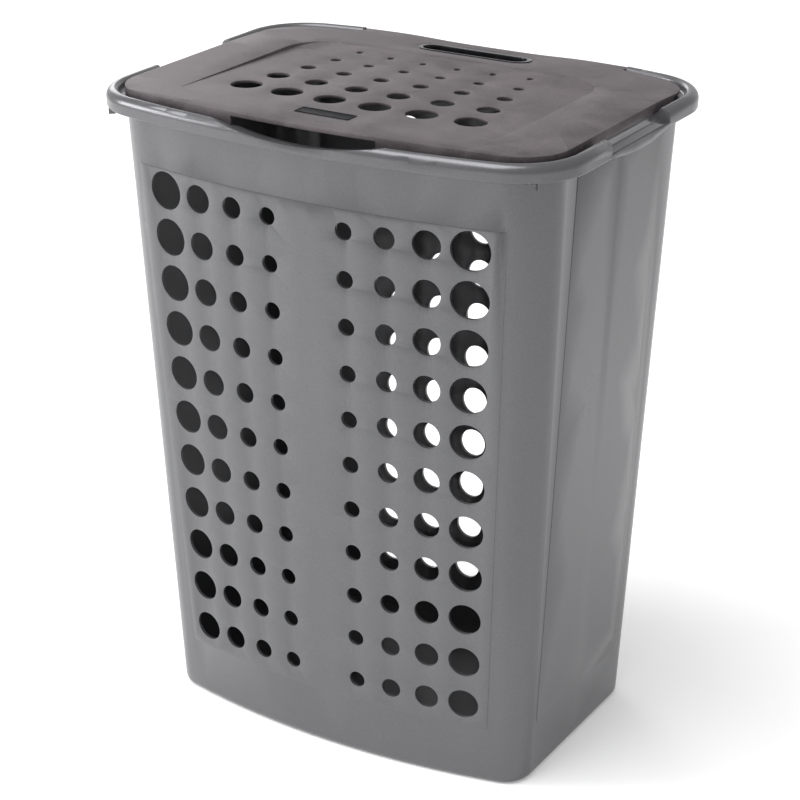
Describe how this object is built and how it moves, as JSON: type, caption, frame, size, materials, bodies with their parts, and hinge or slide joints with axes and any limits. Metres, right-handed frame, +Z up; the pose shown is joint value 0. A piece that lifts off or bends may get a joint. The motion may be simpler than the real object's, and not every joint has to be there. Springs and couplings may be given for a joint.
{
  "type": "laundry hamper",
  "caption": "Tall perforated plastic laundry hamper with bowed tapering walls, a rolled rim with side grips and a hinged flat lid with vent holes and a finger cup.",
  "frame": {"origin": "centre of the footprint on the floor", "axes": "+Z up, front with the finger scoop toward -Y, hinge at the rear toward +Y, +X to the right"},
  "size_m": [0.4742, 0.3549, 0.609],
  "materials": {
    "tub_plastic": "moulded polypropylene, silver grey, satin",
    "lid_plastic": "moulded polypropylene, warm grey, faintly mottled satin",
    "cup_plastic": "moulded, dark, glossy",
    "badge_plastic": "moulded, dark grey, glossy"
  },
  "bodies": {
    "tub": {"tub": "tub_plastic"},
    "lid": {"lid": "lid_plastic", "finger_cup": "cup_plastic", "badge_plate": "badge_plastic"}
  },
  "joints": [
    {"name": "lid_hinge", "type": "hinge", "parent": "tub", "child": "lid", "pos_m": [0, 0.17195, 0.5975], "axis": [-1, 0, 0], "range_deg": [0, 105]}
  ]
}
